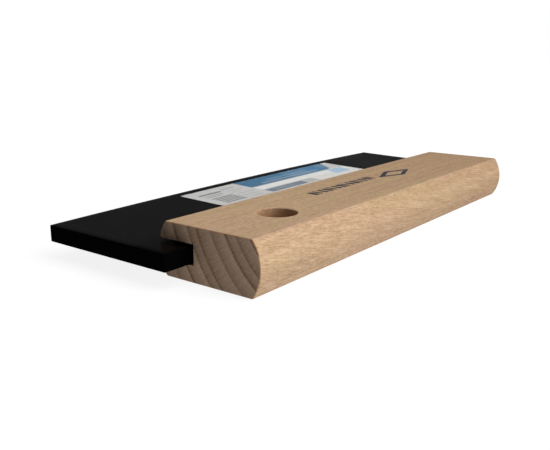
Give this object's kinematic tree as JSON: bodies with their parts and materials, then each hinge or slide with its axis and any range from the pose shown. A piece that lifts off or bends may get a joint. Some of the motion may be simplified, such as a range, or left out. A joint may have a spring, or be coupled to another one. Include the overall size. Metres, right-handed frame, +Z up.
{
  "type": "grout float",
  "caption": "Grout float with a rubber blade glued into a slot along a rounded beech handle, with a hanging hole near one end.",
  "frame": {"origin": "middle of the whole tool, on the surface that the flat underside of the handle rests on", "axes": "+X along the handle, away from the hanging hole; +Y from the handle towards the free edge of the blade; +Z up, square to the blade"},
  "size_m": [0.25, 0.0995, 0.0215],
  "materials": {
    "beech": "planed and sanded beech, unfinished",
    "rubber": "matt black vulcanised sheet",
    "glue": "dark cured contact adhesive",
    "label_film": "printed self-adhesive film, white and blue"
  },
  "bodies": {
    "root": {"handle": "beech", "rubber_blade": "rubber", "glue_film": "glue", "label": "label_film"}
  },
  "joints": []
}
